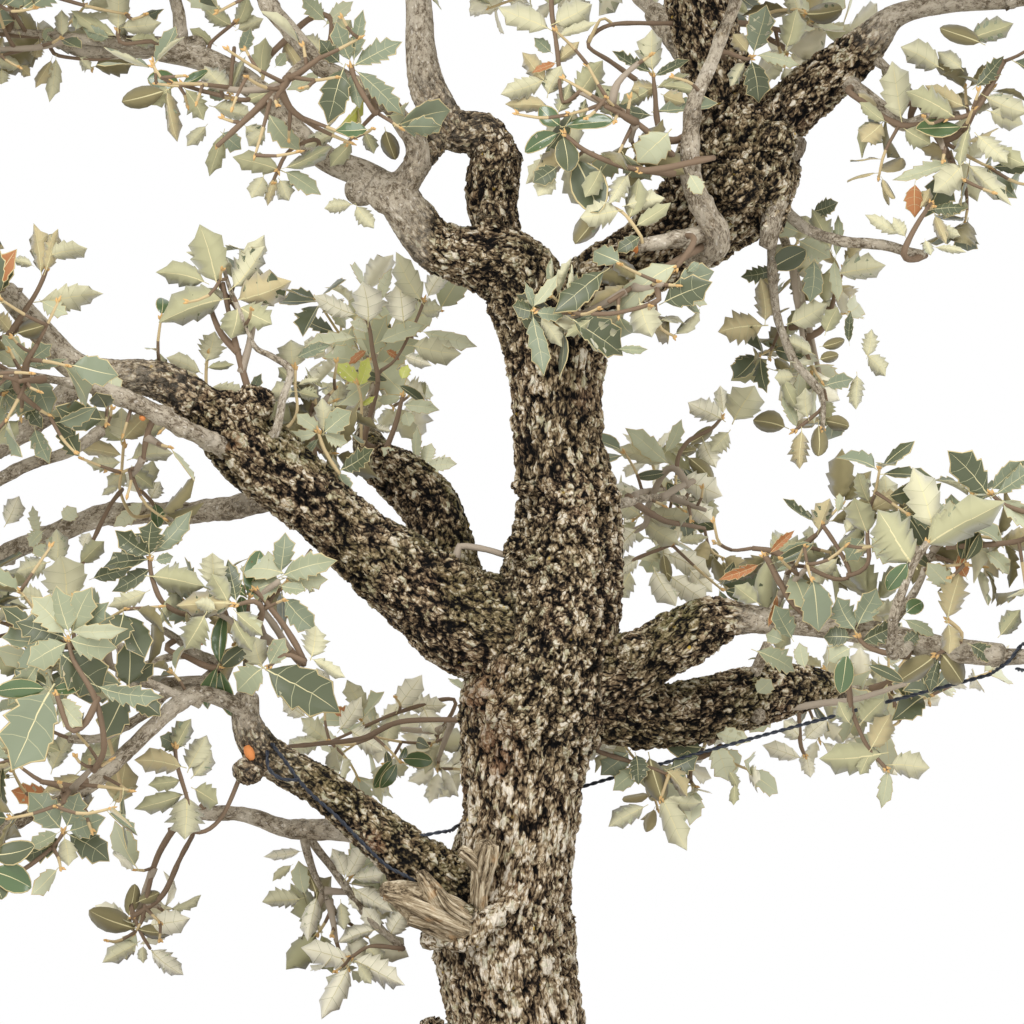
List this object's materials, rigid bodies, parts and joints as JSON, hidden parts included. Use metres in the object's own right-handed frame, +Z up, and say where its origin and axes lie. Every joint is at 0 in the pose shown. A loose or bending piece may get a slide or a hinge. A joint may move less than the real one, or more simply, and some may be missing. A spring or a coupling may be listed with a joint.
{
  "type": "holm oak bonsai in a pot",
  "caption": "Old evergreen oak bonsai with a rugged leaning trunk, bent boughs and open masses of spiny leaves, standing in a plain rectangular pot.",
  "frame": {"origin": "centre of the flat underside of the pot", "axes": "+Z up along the tree, the front of the tree looks along -Y, the long side of the pot runs along X"},
  "size_m": [0.7838, 0.4613, 0.9563],
  "materials": {
    "bark": "deeply cracked, matte",
    "young_bark": "smooth grey, matte",
    "leaf": "leathery, matte",
    "pot_clay": "unglazed, matte",
    "soil": "grainy, matte"
  },
  "bodies": {
    "root": {"bough_apex": "bark", "bough_curl_high": "bark", "bough_curl_low": "bark", "bough_front_s": "young_bark", "bough_left": "bark", "bough_left_arm": "bark", "bough_left_back": "young_bark", "bough_left_front": "young_bark", "bough_left_front_arm": "young_bark", "bough_left_high": "young_bark", "bough_left_leader": "bark", "bough_left_low_arm": "young_bark", "bough_low_left": "bark", "bough_low_left_arm": "young_bark", "bough_rear_left": "bark", "bough_rear_top": "bark", "bough_right": "bark", "bough_right_high": "bark", "bough_right_leader": "bark", "bough_right_rear": "bark", "bough_under_arm": "young_bark", "foliage_apex_inner": "leaf", "foliage_centre": "leaf", "foliage_crown_back": "leaf", "foliage_crown_front": "leaf", "foliage_crown_left": "leaf", "foliage_crown_right": "leaf", "foliage_crown_top": "leaf", "foliage_far_left": "leaf", "foliage_far_right": "leaf", "foliage_far_right_high": "leaf", "foliage_fork_spray": "leaf", "foliage_high_left": "leaf", "foliage_left_back": "leaf", "foliage_left_front": "leaf", "foliage_left_hanging": "leaf", "foliage_left_low": "leaf", "foliage_left_shoot": "leaf", "foliage_left_sprig": "leaf", "foliage_low_left_far": "leaf", "foliage_low_left_front": "leaf", "foliage_low_left_outer": "leaf", "foliage_low_left_upper": "leaf", "foliage_low_sprig": "leaf", "foliage_mid_left": "leaf", "foliage_mid_left_low": "leaf", "foliage_mid_right": "leaf", "foliage_rear_low": "leaf", "foliage_right_hanging": "leaf", "foliage_right_high": "leaf", "foliage_right_inner": "leaf", "foliage_right_outer": "leaf", "foliage_right_rear": "leaf", "foliage_right_rear_inner": "leaf", "foliage_top_left": "leaf", "foliage_under": "leaf", "pot": "pot_clay", "soil": "soil", "trunk": "bark"}
  },
  "joints": []
}
